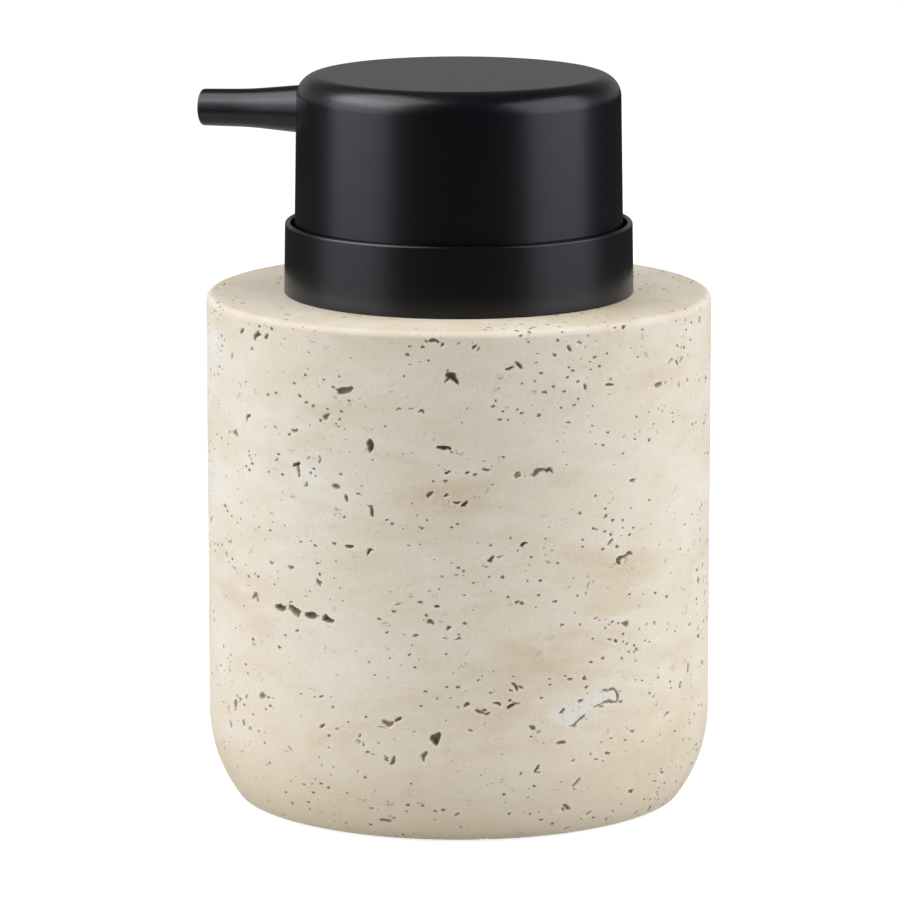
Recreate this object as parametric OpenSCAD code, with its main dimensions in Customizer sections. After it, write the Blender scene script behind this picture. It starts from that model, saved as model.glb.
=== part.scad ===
// Soap pump dispenser: a cored stone body with a plastic inner bottle, and a push-in pump
// whose round knob carries the spout. +Z is up, the origin is on the table under the body's
// centre, and the spout points along -X.

/* [Stone body] */
// Outer diameter of the stone body
body_d = 85; // [70:0.5:104]
// Height of the stone body's top face above the table
body_h = 86; // [71:0.5:110]
// Radius of the large arc round the bottom edge
base_arc_r = 23.5; // [19:0.5:26]
// Height of that arc's centre above the table
base_arc_z = 14.7; // [10:0.1:17]
// Rounding of the top outer edge
top_edge_r = 1.5; // [0.6:0.1:3]
// Thickness of stone left under the cored hole
stone_floor_t = 8.5; // [5:0.5:14]

/* [Foot pad] */
// Distance from the pad's rim in to the edge of the flat base
pad_margin = 3.7; // [2:0.1:8]
// Thickness of the foot pad
pad_t = 1.8; // [1.2:0.1:3]
// How far the pad stands out of its recess
pad_proud = 0.5; // [0.3:0.1:1]

/* [Inner bottle] */
// Wall of the inner bottle
bottle_wall = 1.3; // [0.8:0.1:2]
// Thickness of the flange that hangs it in the stone
bottle_flange_t = 1.3; // [1:0.1:2]
// Width of that flange
bottle_flange_w = 2.4; // [1.5:0.1:2.6]
// Rounding of the bottle's inner bottom corner
bottle_corner_r = 3; // [1.5:0.1:6]

/* [Collar] */
// Outer diameter of the collar at its rim
collar_d = 58.4; // [48:0.1:70]
// How much wider the collar's radius is at its foot
collar_flare = 0.2; // [0:0.05:0.6]
// Wall of the collar
collar_wall = 0.95; // [0.8:0.05:1.6]
// Floor of the collar
collar_floor_t = 1.2; // [1:0.1:2]
// How far the collar covers the rim of the stone's hole
collar_cover = 3.2; // [2.8:0.1:5]

/* [Knob] */
// Height of the knob's top above the collar's rim
knob_h = 24.8; // [22:0.1:32]
// Gap between the knob's skirt and the collar
knob_gap = 0.65; // [0.4:0.05:1.2]
// How much narrower the knob's radius is at its top
knob_draft = 0.45; // [0.1:0.05:1]
// Rounding of the knob's top edge
knob_edge_r = 3.7; // [2:0.1:5]
// Wall of the knob
knob_wall = 1.6; // [1.2:0.1:2.2]
// How deep the skirt sits in the collar when the pump is at rest
skirt_overlap = 1.7; // [1:0.1:3]

/* [Spout] */
// Reach of the spout's tip from the pump's axis
spout_reach = 45.5; // [40:0.5:60]
// Diameter of the spout where it leaves the knob
spout_root_d = 8.24; // [7:0.1:9]
// Diameter of the spout where its flare meets the slender stretch
spout_waist_d = 6.5; // [6:0.1:7]
// Diameter of the spout at its tip
spout_tip_d = 6.25; // [5.4:0.05:7]
// Bore of the spout
spout_bore_d = 3.5; // [2.4:0.1:4]
// Length of the flare from the knob's side to the waist
spout_flare_len = 9.5; // [6:0.5:11]
// Radius that runs the flare into the slender stretch
spout_blend_r = 60; // [20:5:100]
// Rounding of the tip's rim
spout_lip_r = 0.4; // [0.2:0.05:0.6]
// Droop of the spout below level, in degrees
spout_droop = 1.2; // [0:0.1:4]
// Depth of the spout's axis below the knob's top, at the knob's side
spout_depth = 7; // [6.8:0.1:9]

/* [Pump] */
// Travel of the pump from rest to fully pressed
stroke = 8.5; // [6:0.1:10.5]
// Bore of the pump chamber
chamber_d = 12; // [10:0.1:14.5]
// Wall of the pump housing
housing_wall = 1.3; // [1:0.1:2]
// Outer diameter of the hollow stem
stem_d = 7; // [6.4:0.1:7.4]
// Bore of the hollow stem
stem_bore_d = 3; // [2:0.1:3.2]
// Length of the piston
piston_len = 8; // [6:0.5:12]
// Diameter of the two valve balls
ball_d = 3.6; // [3.3:0.1:4]
// Travel of the inlet ball off its seat
inlet_lift = 1.5; // [0.8:0.1:2.5]
// Travel of the outlet ball off its seat
outlet_lift = 1.2; // [0.8:0.1:2]
// Wire of the return spring
spring_wire = 0.8; // [0.6:0.05:0.9]
// Turns of the return spring
spring_turns = 7; // [5:1:9]
// Outer diameter of the dip tube
dip_d = 5.6; // [4.8:0.1:6]
// Wall of the dip tube
dip_wall = 0.9; // [0.6:0.1:1]

/* [Hidden] */
$fn = 96;

// Clearances
run_gap = 0.05;      // radial, between pieces that slide or turn on each other
seat_gap = 0.02;     // radial, between pieces pressed together
loose_gap = 0.3;     // radial, where a piece only drops in
press_gap = 0.5;     // left under the knob when it is fully pressed
rest_gap = 0.1;      // between two moving pieces that stop against each other

// Heights, from the table up
bore_floor_z = pad_proud + stone_floor_t;
bottle_floor_z = bore_floor_z + bottle_wall;
seat_z = body_h;
collar_h = collar_floor_t + press_gap + stroke + skirt_overlap;
rim_z = seat_z + collar_h;
skirt_z = rim_z - skirt_overlap;
top_z = rim_z + knob_h;
knob_roof_z = top_z - knob_wall;

// Radii of the stone, the bottle and the plug, from the collar inwards
body_r = body_d / 2;
base_arc_x = body_r - base_arc_r;
base_flat_r = base_arc_x + sqrt(pow(base_arc_r, 2) - pow(base_arc_z - pad_proud, 2));
pad_r = base_flat_r - pad_margin;
collar_r = collar_d / 2;
collar_in_r = collar_r - collar_wall;
bore_r = collar_r - collar_cover;
bottle_r = bore_r - loose_gap;
bottle_in_r = bottle_r - bottle_wall;
flange_r = bottle_r + bottle_flange_w;
plug_r = bottle_in_r - loose_gap;

// Knob
knob_foot_r = collar_in_r - knob_gap;
knob_top_r = knob_foot_r - knob_draft;
knob_slope = knob_draft / (top_z - skirt_z);

// Closure plug and its seals
plug_h = 10;
plug_wall = 2.9;
plug_web_t = 1.6;
seal_r = 1;
seal_pitch = 3.6;
lower_seal_z = seat_z - plug_h + 2.6;
upper_seal_z = lower_seal_z + seal_pitch;
seal_ring_r = bottle_in_r - run_gap - seal_r;
spigot_r = plug_r - 4;
spigot_wall = 1.5;
bead = 0.5;
bead_h = 1;

// Pump housing, gasket and stem guide
gasket_t = 0.8;
housing_flange_t = 1.5;
housing_flange_w = 2.7;
chamber_r = chamber_d / 2;
housing_r = chamber_r + housing_wall;
housing_flange_r = housing_r + housing_flange_w;
flange_z = seat_z + gasket_t;
flange_top_z = flange_z + housing_flange_t;
boss_r = housing_flange_r + rest_gap;
boss_wall = 1.4;
guide_skirt_r = boss_r + boss_wall + run_gap;
guide_skirt_wall = 1.3;
guide_plate_t = 1.6;
guide_tower_h = 2.6;
guide_tower_wall = 1.6;
guide_spigot_h = 4;
guide_top_z = flange_top_z + guide_plate_t + guide_tower_h;

// Plunger, from its stop under the guide down to the spring
stem_r = stem_d / 2;
stem_bore_r = stem_bore_d / 2;
piston_top_z = flange_top_z - guide_spigot_h - rest_gap;
piston_z = piston_top_z - piston_len;
lip_h = 1.6;
lip_relief = 0.7;
rib_h = 2;
rib_depth = 0.4;
retainer_t = 1.5;
retainer_r = chamber_r - 1;
retainer_spigot_r = stem_bore_r + 0.7;
retainer_spigot_h = 6;
spring_top_z = piston_z - retainer_t;
spring_reserve = 1;
spring_len = (spring_turns + 1) * spring_wire + stroke + spring_reserve;
spring_r = retainer_r - spring_wire / 2 - 0.4;
spring_z = spring_top_z - spring_len;
spring_sides = 6;
spring_steps = 16;
seat_plate_t = 1.6;
chamber_floor_z = spring_z - seat_plate_t;

// Valves: a ball on a 45 degree seat whose lower edge is inlet_r wide
ball_r = ball_d / 2;
inlet_r = ball_r - 0.6;
well_r = ball_r + 0.55;
ball_rise = sqrt(2) * (ball_r + seat_gap) - inlet_r;
valve_h = ball_rise + ball_r + rest_gap;
inlet_seat_z = chamber_floor_z - valve_h - inlet_lift;
inlet_ball_z = inlet_seat_z + ball_rise;

// Dip tube and its socket
dip_clear = 3;
dip_cut = 25;
inlet_neck_h = 3;
dip_socket_h = 8;
dip_r = dip_d / 2;
dip_top_z = inlet_seat_z - inlet_neck_h;
housing_foot_z = dip_top_z - dip_socket_h;
socket_wall = 1.5;
dip_foot_z = bottle_floor_z + dip_clear;
chamber_base_t = 1.4;
vent_r = 0.5;

// Stem head, valve cap and the core's socket
head_z = guide_top_z + stroke + press_gap;
head_r = well_r + 2.3;
outlet_seat_z = head_z + 2.4;
outlet_ball_z = outlet_seat_z + ball_rise;
cap_z = outlet_seat_z + valve_h + outlet_lift;
cap_t = 2;
cap_r = well_r + 1;
stem_top_z = cap_z + cap_t;
oring_r = 0.55;
oring_ring_r = head_r - oring_r + run_gap - seat_gap;
oring_z = head_z + 2;
flow_holes = 4;
flow_hole_r = 0.6;
flow_hole_at = ball_r - 0.5;

// Knob core and spout
core_r = head_r + run_gap + 3;
core_boss_wall = 1.5;
core_boss_h = 8;
socket_roof_z = stem_top_z + run_gap;
spout_root_r = spout_root_d / 2;
spout_tip_r = spout_tip_d / 2;
spout_bore_r = spout_bore_d / 2;
spout_z = top_z - spout_depth;
spout_side_r = knob_top_r + knob_slope * spout_depth;
spout_len = (spout_reach - spout_side_r) / cos(spout_droop);
spout_shoulder = 4.6;
spout_spigot_h = 9;
spout_spigot_r = spout_bore_r + 1.2;
arm_r = spout_spigot_r + seat_gap + 1.4;
arm_axis_z = spout_z + spout_side_r * tan(spout_droop);
arm_len = spout_side_r / cos(spout_droop) - spout_shoulder;

stone = "#d9ccb4";
satin_black = "#1d1e20";
natural_plastic = "#e6e6e0";
silicone = "#c9cccb";
rubber_black = "#26262a";
steel = "#b8babd";

// A flat rectangle in a turned section, from radius r0 to r1 and height z0 to z1
module band(r0, r1, z0, z1) {
    translate([r0, z0]) square([r1 - r0, z1 - z0]);
}

// A round tube from height z0 to z1
module tube(r0, r1, z0, z1) {
    rotate_extrude() band(r0, r1, z0, z1);
}

// A ring of round section
module o_ring(ring_r, section_r, z) {
    translate([0, 0, z]) rotate_extrude() translate([ring_r, 0]) circle(r = section_r, $fn = 32);
}

// The space over a valve seat: an inlet of depth below, the 45 degree seat and the ball's well
module valve_bore(seat_z, below, well_top) {
    cone_h = well_r - inlet_r;
    translate([0, 0, seat_z - below]) cylinder(r = inlet_r, h = below + rest_gap);
    translate([0, 0, seat_z]) cylinder(r1 = inlet_r, r2 = well_r, h = cone_h);
    translate([0, 0, seat_z + cone_h]) cylinder(r = well_r, h = well_top - seat_z - cone_h);
}

// Round passages in a circle about the axis
module flow_bores(at, z, h) {
    for (k = [0 : flow_holes - 1])
        rotate([0, 0, k * 360 / flow_holes])
            translate([at, 0, z]) cylinder(r = flow_hole_r, h = h, $fn = 32);
}

// Places a piece drawn along +Z on the spout's line, from its point on the pump's axis
module on_spout_line() {
    translate([0, 0, arm_axis_z]) rotate([0, -90 - spout_droop, 0]) children();
}

module stone_section() {
    difference() {
        union() {
            intersection() {
                translate([base_arc_x, base_arc_z]) circle(r = base_arc_r);
                band(0, body_r + 1, pad_proud, base_arc_z);
            }
            band(0, base_arc_x, pad_proud, base_arc_z);
            band(0, body_r, base_arc_z, body_h - top_edge_r);
            translate([body_r - top_edge_r, body_h - top_edge_r]) circle(r = top_edge_r);
            band(0, body_r - top_edge_r, base_arc_z, body_h);
        }
        band(-1, bore_r, bore_floor_z, body_h + 1);
        band(-1, flange_r + loose_gap, body_h - bottle_flange_t, body_h + 1);
        band(-1, pad_r + loose_gap, pad_proud - 1, pad_t);
    }
}

module stone_body() {
    color(stone) rotate_extrude() intersection() {
        stone_section();
        band(0, body_r + 1, 0, body_h + 1);
    }
}

module inner_bottle() {
    color(natural_plastic) rotate_extrude() difference() {
        union() {
            band(0, bottle_r, bore_floor_z, body_h);
            band(0, flange_r, body_h - bottle_flange_t, body_h);
        }
        difference() {
            band(0, bottle_in_r, bottle_floor_z, body_h + 1);
            difference() {
                band(bottle_in_r - bottle_corner_r, bottle_in_r + 1,
                     bottle_floor_z - 1, bottle_floor_z + bottle_corner_r);
                translate([bottle_in_r - bottle_corner_r, bottle_floor_z + bottle_corner_r])
                    circle(r = bottle_corner_r);
            }
        }
    }
}

module foot_pad() {
    edge = 0.3;
    color(rubber_black) rotate_extrude() {
        band(0, pad_r, edge, pad_t);
        band(0, pad_r - edge, 0, edge);
        intersection() {
            translate([pad_r - edge, edge]) circle(r = edge, $fn = 32);
            band(0, pad_r, 0, edge);
        }
    }
}

module collar() {
    foot_r = collar_r + collar_flare;
    rim_r = collar_wall / 2;
    color(satin_black) rotate_extrude() {
        difference() {
            union() {
                polygon([
                    [spigot_r + seat_gap, seat_z],
                    [foot_r, seat_z],
                    [collar_r, rim_z - rim_r],
                    [spigot_r + seat_gap, rim_z - rim_r]
                ]);
                translate([collar_r - rim_r, rim_z - rim_r]) circle(r = rim_r, $fn = 32);
            }
            band(0, collar_in_r, seat_z + collar_floor_t, rim_z - rim_r);
            band(0, spigot_r + seat_gap, seat_z - 1, rim_z);
        }
    }
}

module closure_plug() {
    spigot_top_z = seat_z + collar_floor_t + bead_h;
    color(satin_black) rotate_extrude() difference() {
        union() {
            band(plug_r - plug_wall, plug_r, seat_z - plug_h, seat_z);
            band(housing_r + rest_gap, plug_r, seat_z - plug_web_t, seat_z);
            band(boss_r, boss_r + boss_wall, seat_z - plug_web_t, flange_top_z);
            band(spigot_r - spigot_wall, spigot_r, seat_z - plug_web_t, spigot_top_z);
            band(spigot_r - spigot_wall, spigot_r + bead, spigot_top_z - bead_h, spigot_top_z);
        }
        for (z = [lower_seal_z, upper_seal_z])
            band(seal_ring_r - seal_r - seat_gap, plug_r + 1,
                 z - seal_r - rest_gap, z + seal_r + rest_gap);
    }
}

module upper_plug_seal() {
    color(silicone) o_ring(seal_ring_r, seal_r, upper_seal_z);
}

module lower_plug_seal() {
    color(silicone) o_ring(seal_ring_r, seal_r, lower_seal_z);
}

module housing_gasket() {
    color(silicone) tube(housing_r + rest_gap, housing_flange_r, seat_z, flange_z);
}

module pump_housing() {
    socket_r = dip_r + seat_gap;
    color(natural_plastic) difference() {
        union() {
            cylinder_from(housing_r, chamber_floor_z - chamber_base_t, flange_top_z);
            cylinder_from(housing_flange_r, flange_z, flange_top_z);
            cylinder_from(max(socket_r, well_r) + socket_wall, housing_foot_z, chamber_floor_z);
        }
        cylinder_from(chamber_r, chamber_floor_z, flange_top_z + 1);
        valve_bore(inlet_seat_z, inlet_neck_h + 1, chamber_floor_z + rest_gap);
        cylinder_from(socket_r, housing_foot_z - 1, dip_top_z);
        translate([0, 0, piston_z + 1]) rotate([0, 90, 0])
            cylinder(r = vent_r, h = housing_r + 1, $fn = 32);
    }
}

// A solid cylinder on the axis from height z0 to z1
module cylinder_from(r, z0, z1) {
    translate([0, 0, z0]) cylinder(r = r, h = z1 - z0);
}

module stem_guide() {
    hole_r = stem_r + run_gap;
    plate_z = flange_top_z + guide_plate_t;
    color(natural_plastic) rotate_extrude() {
        band(hole_r, guide_skirt_r + guide_skirt_wall, flange_top_z, plate_z);
        band(guide_skirt_r, guide_skirt_r + guide_skirt_wall, seat_z + rest_gap, plate_z);
        band(hole_r, hole_r + guide_tower_wall, plate_z, guide_top_z);
        band(hole_r, chamber_r - seat_gap, flange_top_z - guide_spigot_h, flange_top_z);
    }
}

module spring_seat() {
    stub_r = spring_r - spring_wire / 2 - loose_gap;
    color(natural_plastic) difference() {
        union() {
            cylinder_from(chamber_r - seat_gap, chamber_floor_z, spring_z);
            cylinder_from(stub_r, chamber_floor_z, spring_z + 2);
        }
        flow_bores(flow_hole_at, chamber_floor_z - 1, seat_plate_t + 4);
    }
}

// Height of the spring's wire after t turns: one closed turn at each end, even pitch between
function coil_z(t) =
    let (open_rise = (spring_len - 3 * spring_wire) / (spring_turns - 2))
    spring_wire / 2
    + spring_wire * min(t, 1)
    + open_rise * max(0, min(t - 1, spring_turns - 2))
    + spring_wire * max(0, t - spring_turns + 1);

module return_spring() {
    rings = spring_turns * spring_steps;
    points = [
        for (i = [0 : rings])
            let (t = i / spring_steps)
            for (j = [0 : spring_sides - 1])
                let (a = j * 360 / spring_sides)
                let (r = spring_r + spring_wire / 2 * cos(a))
                [r * cos(360 * t), r * sin(360 * t), spring_z + coil_z(t) + spring_wire / 2 * sin(a)]
    ];
    sides = [
        for (i = [0 : rings - 1])
            for (j = [0 : spring_sides - 1])
                let (k = (j + 1) % spring_sides)
                [
                    i * spring_sides + j, i * spring_sides + k,
                    (i + 1) * spring_sides + k, (i + 1) * spring_sides + j
                ]
    ];
    start = [for (j = [spring_sides - 1 : -1 : 0]) j];
    end = [for (j = [0 : spring_sides - 1]) rings * spring_sides + j];
    color(steel) polyhedron(points = points, faces = concat(sides, [start, end]), convexity = 8);
}

module dip_tube() {
    cut = dip_d + 4;
    color(natural_plastic) difference() {
        tube(dip_r - dip_wall, dip_r, dip_foot_z, dip_top_z);
        translate([-dip_r, -cut / 2, dip_foot_z]) rotate([0, -dip_cut, 0])
            translate([-1, 0, -cut]) cube([cut, cut, cut]);
    }
}

module inlet_ball() {
    color(steel) translate([0, 0, inlet_ball_z]) sphere(r = ball_r);
}

module plunger_stem() {
    groove_z = piston_z + (piston_len - rib_h) / 2;
    color(natural_plastic) difference() {
        union() {
            cylinder_from(stem_r, piston_z, head_z);
            cylinder_from(head_r, head_z, stem_top_z);
        }
        cylinder_from(retainer_spigot_r + seat_gap, piston_z - 1, piston_z + retainer_spigot_h);
        cylinder_from(stem_bore_r, piston_z, outlet_seat_z - 1);
        valve_bore(outlet_seat_z, outlet_seat_z - piston_z - retainer_spigot_h, cap_z + rest_gap);
        cylinder_from(cap_r + seat_gap, cap_z, stem_top_z + 1);
        tube(stem_r - rib_depth, stem_r + 1, groove_z, groove_z + rib_h);
        tube(oring_ring_r - oring_r - seat_gap, head_r + 1,
             oring_z - oring_r - seat_gap, oring_z + oring_r + seat_gap);
    }
}

module piston() {
    inner_r = stem_r + seat_gap;
    outer_r = chamber_r - run_gap;
    rib_z = piston_z + (piston_len - rib_h) / 2;
    color(natural_plastic) rotate_extrude() {
        band(inner_r, outer_r, piston_z, piston_z + lip_h);
        band(inner_r, outer_r, piston_top_z - lip_h, piston_top_z);
        band(inner_r, outer_r - lip_relief, piston_z, piston_top_z);
        band(inner_r - rib_depth, inner_r + rib_depth, rib_z + seat_gap, rib_z + rib_h - seat_gap);
    }
}

module piston_retainer() {
    color(natural_plastic) difference() {
        union() {
            cylinder_from(retainer_r, spring_top_z, piston_z);
            cylinder_from(retainer_spigot_r, spring_top_z, piston_z + retainer_spigot_h);
        }
        cylinder_from(stem_bore_r, spring_top_z - 1, piston_z + retainer_spigot_h + 1);
    }
}

module outlet_ball() {
    color(steel) translate([0, 0, outlet_ball_z]) sphere(r = ball_r);
}

module valve_cap() {
    color(natural_plastic) difference() {
        cylinder_from(cap_r, cap_z, stem_top_z);
        flow_bores(flow_hole_at, cap_z - 1, cap_t + 2);
    }
}

module stem_seal() {
    color(silicone) o_ring(oring_ring_r, oring_r, oring_z);
}

// The knob's outer section, with the flat top run into the drafted side by one arc
module knob_section(wall, foot_z) {
    lean = sqrt(1 + pow(knob_slope, 2));
    edge_r = knob_edge_r - wall;
    edge_x = knob_top_r + knob_slope * knob_edge_r - knob_edge_r * lean;
    edge_z = top_z - knob_edge_r;
    translate([edge_x, edge_z]) circle(r = edge_r);
    polygon([
        [0, foot_z],
        [knob_top_r - wall * lean + knob_slope * (top_z - foot_z), foot_z],
        [edge_x + edge_r / lean, edge_z + edge_r * knob_slope / lean],
        [edge_x, edge_z],
        [edge_x, top_z - wall],
        [0, top_z - wall]
    ]);
}

module knob_shell() {
    slot_w = 2 * (arm_r + rest_gap);
    boss_z = knob_roof_z - core_boss_h;
    color(satin_black) difference() {
        union() {
            rotate_extrude() difference() {
                knob_section(0, skirt_z);
                knob_section(knob_wall, skirt_z - 1);
            }
            tube(core_r + seat_gap, core_r + core_boss_wall, boss_z, knob_roof_z);
        }
        translate([-core_r - core_boss_wall - 1, -slot_w / 2, boss_z - 1])
            cube([core_boss_wall + core_r, slot_w, knob_roof_z - boss_z + 1]);
        on_spout_line() cylinder(r = spout_root_r + seat_gap, h = spout_side_r + 4);
    }
}

module knob_core() {
    color(satin_black) difference() {
        union() {
            cylinder_from(core_r, head_z, knob_roof_z);
            on_spout_line() cylinder(r = arm_r, h = arm_len);
        }
        cylinder_from(head_r + run_gap, head_z - 1, socket_roof_z);
        cylinder_from(spout_bore_r, socket_roof_z - 1, arm_axis_z);
        on_spout_line() cylinder(r = spout_bore_r, h = arm_len + 1);
        on_spout_line() cylinder_from(spout_spigot_r + seat_gap, arm_len - spout_spigot_h, arm_len + 1);
    }
}

// The spout's outer section past the knob: a flare, an arc tangent to both tapers, and the
// slender stretch, from the height root to the height tip
module spout_taper(root, tip) {
    waist = root + spout_flare_len;
    waist_r = spout_waist_d / 2;
    flare_angle = atan((spout_root_r - waist_r) / spout_flare_len);
    taper_angle = atan((waist_r - spout_tip_r) / (tip - waist));
    tangent = spout_blend_r * tan((flare_angle - taper_angle) / 2);
    flare_end = [waist_r + tangent * sin(flare_angle), waist - tangent * cos(flare_angle)];
    taper_start = [waist_r - tangent * sin(taper_angle), waist + tangent * cos(taper_angle)];
    centre = flare_end + spout_blend_r * [cos(flare_angle), sin(flare_angle)];
    polygon([[0, root], [spout_root_r, root], flare_end, [0, flare_end.y]]);
    difference() {
        polygon([[0, flare_end.y], flare_end, centre, taper_start, [0, taper_start.y]]);
        translate(centre) circle(r = spout_blend_r, $fn = 720);
    }
    polygon([[0, taper_start.y], taper_start, [spout_tip_r, tip], [0, tip]]);
}

module spout() {
    root = arm_len + spout_shoulder;
    end = root + spout_len;
    lip = end - spout_lip_r;
    color(satin_black) on_spout_line() rotate_extrude() difference() {
        union() {
            band(0, spout_spigot_r, arm_len - spout_spigot_h + seat_gap, arm_len + 1);
            band(0, spout_root_r, arm_len, root);
            spout_taper(root, lip);
            band(0, spout_tip_r - spout_lip_r, root, end);
            translate([spout_tip_r - spout_lip_r, lip]) circle(r = spout_lip_r, $fn = 32);
        }
        band(-1, spout_bore_r, 0, end + 1);
    }
}

stone_body();
inner_bottle();
foot_pad();
collar();
closure_plug();
upper_plug_seal();
lower_plug_seal();
housing_gasket();
pump_housing();
stem_guide();
spring_seat();
return_spring();
dip_tube();
inlet_ball();
plunger_stem();
piston();
piston_retainer();
outlet_ball();
valve_cap();
stem_seal();
knob_shell();
knob_core();
spout();
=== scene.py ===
import math

import bpy
import numpy as np
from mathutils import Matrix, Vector


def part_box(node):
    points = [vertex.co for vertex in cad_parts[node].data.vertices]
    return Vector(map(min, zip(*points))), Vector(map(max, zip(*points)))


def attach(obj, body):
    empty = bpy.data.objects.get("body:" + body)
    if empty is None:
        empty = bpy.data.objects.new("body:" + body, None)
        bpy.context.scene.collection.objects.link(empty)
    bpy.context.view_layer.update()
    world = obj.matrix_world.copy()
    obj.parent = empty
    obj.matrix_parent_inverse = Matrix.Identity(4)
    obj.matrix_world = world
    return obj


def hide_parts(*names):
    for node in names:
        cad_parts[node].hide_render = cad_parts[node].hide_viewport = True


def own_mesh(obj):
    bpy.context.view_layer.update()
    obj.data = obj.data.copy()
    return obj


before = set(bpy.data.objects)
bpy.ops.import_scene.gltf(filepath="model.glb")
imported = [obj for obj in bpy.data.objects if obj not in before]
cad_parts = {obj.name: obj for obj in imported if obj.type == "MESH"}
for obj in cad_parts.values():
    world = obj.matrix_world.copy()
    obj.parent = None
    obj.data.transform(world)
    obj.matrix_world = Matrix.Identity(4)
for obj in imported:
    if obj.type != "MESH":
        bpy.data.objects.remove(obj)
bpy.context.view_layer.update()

bl_info = {
    "name": "Stone soap pump dispenser",
    "version": (1, 0, 0),
    "blender": (4, 5, 0),
    "location": "3D View > Sidebar > Dispenser",
    "description": "Builds a travertine soap dispenser with its pump around a packed CAD frame",
    "category": "Add Mesh",
}

MM = 0.001
COLLAR_COLUMNS = 256    # faces round the collar
BOTTLE_COLUMNS = 160    # faces round the bottle and the foot pad
SEAL_COLUMNS = 128      # faces round a seal
FRONT_DEGREES = 17.3    # where the camera stands and the stone's front faces


def linear(code):
    """Scene-linear red, green, blue and alpha of an sRGB hex colour."""
    value = np.array([int(code[i:i + 2], 16) for i in (1, 3, 5)]) / 255
    curved = ((value + 0.055) / 1.055) ** 2.4
    return (*np.where(value <= 0.04045, value / 12.92, curved).tolist(), 1.0)


def length(name, description, default_mm):
    """A length property, given in millimetres and kept in metres."""
    return bpy.props.FloatProperty(
        name=name, description=description, default=default_mm * MM, min=0.0,
        unit="LENGTH", precision=5)


def colour(name, description, code):
    """A colour property from an sRGB hex value."""
    return bpy.props.FloatVectorProperty(
        name=name, description=description, default=linear(code), size=4,
        min=0.0, max=1.0, subtype="COLOR")


def angle(name, description, degrees):
    """An angle property, given in degrees."""
    return bpy.props.FloatProperty(
        name=name, description=description, default=math.radians(degrees), subtype="ANGLE")


def number(name, description, default):
    """A plain number property."""
    return bpy.props.FloatProperty(name=name, description=description, default=default)


def count(name, description, default):
    """A whole number property."""
    return bpy.props.IntProperty(name=name, description=description, default=default, min=0)


class DispenserSizes(bpy.types.PropertyGroup):
    """Sizes of the pieces that are modelled here; the rest come from the frame."""

    base_arc_radius: length("Base arc", "Radius of the arc round the stone's bottom edge", 23.5)
    base_arc_height: length("Base arc height", "Height of that arc's centre", 14.7)
    top_edge_radius: length("Top edge", "Rounding of the stone's top outer edge", 1.2)
    bore_radius: length("Bore", "Radius of the cored hole in the stone", 26.0)
    seat_clearance: length("Seat clearance", "Room round the flange and the foot pad", 0.3)
    flange_thickness: length("Flange", "Thickness of the inner bottle's flange", 1.3)
    bottle_wall: length("Bottle wall", "Wall of the inner bottle", 1.3)
    bottle_radius: length("Bottle", "Outer radius of the inner bottle", 25.7)
    stone_cell: length("Stone cell", "Side of the stone mesh's largest cell", 1.6)
    collar_wall: length("Collar wall", "Wall of the collar", 0.95)
    collar_floor: length("Collar floor", "Thickness of the collar's floor", 1.2)
    collar_hole: length("Collar hole", "Radius of the collar's hole", 20.12)
    collar_flare: length("Collar flare", "How much wider the collar's radius is at its foot", 0.2)
    mould_edge: length("Mould edge", "Rounding of a moulded edge", 0.2)
    spring_wire: length("Spring wire", "Diameter of the return spring's wire", 0.8)
    spring_turns: count("Spring turns", "Turns of the return spring", 7)
    pump_travel: length("Pump travel", "Travel of the pump from rest to pressed", 8.5)


class TravertinePits(bpy.types.PropertyGroup):
    """How the open pores of the stone are scattered."""

    seed: count("Seed", "Seed of the scatter", 12)
    small_pits: count("Small pores", "Pores up to 1.5 mm long", 720)
    large_pits: count("Large pores", "Pores over 1.1 mm long", 118)
    deepest: length("Deepest pore", "Depth of the deepest scattered pores", 1.1)
    vug_angle: angle("Filled hollow angle", "Where the calcite-filled hollow is, from the front", 29)
    vug_height: length("Filled hollow height", "Height of the calcite-filled hollow", 23.0)
    vug_length: length("Filled hollow length", "Length of the calcite-filled hollow", 12.5)
    vug_rise: angle("Filled hollow rise", "Tilt of the calcite-filled hollow", 9)
    row_angle: angle("Cavity row angle", "Middle of the row of joined cavities", -36.5)
    row_height: length("Cavity row height", "Height of the row of joined cavities", 38.0)


class DispenserColours(bpy.types.PropertyGroup):
    """Colours of the materials."""

    stone_tan: colour("Stone tan", "Warm bands of the travertine", "#dfcdae")
    stone_pale: colour("Stone pale", "Pale ground of the travertine", "#ecdfc8")
    stone_white: colour("Stone white", "Cloudy calcite bands", "#f2ecdf")
    # The pores' brown is partly the pore floor's own colour and partly painted shade: the code lays
    # it on more fully the deeper a pore is
    pit_brown: colour("Pore brown", "Floor of the open pores", "#917e60")
    # The pinholes' brown is painted shade: the pinholes are only bumps, and this colour stands in for
    # the shade inside them
    pinhole_brown: colour("Pinhole brown", "Shaded inside of the pinholes", "#6e5d45")
    calcite: colour("Calcite", "Crystals that fill the old hollow", "#e4ddd0")
    black: colour("Black plastic", "Moulded knob, collar and spout", "#08090d")
    natural: colour("Natural plastic", "Unpigmented pump parts", "#dfdfd8")
    milky: colour("Milky plastic", "Blow-moulded inner bottle", "#e9eae4")
    silicone: colour("Silicone", "Seals and the gasket", "#c4c7c6")
    foam: colour("Foot foam", "Closed-cell foam of the foot pad", "#26262a")
    steel: colour("Steel", "Spring wire and valve balls", "#b9b8b4")


# Outlines: rows of radius, height and the outward normal's two parts, material on the left

ARC_STEP = math.radians(9)    # the most that one stretch of a rounding turns


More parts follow.
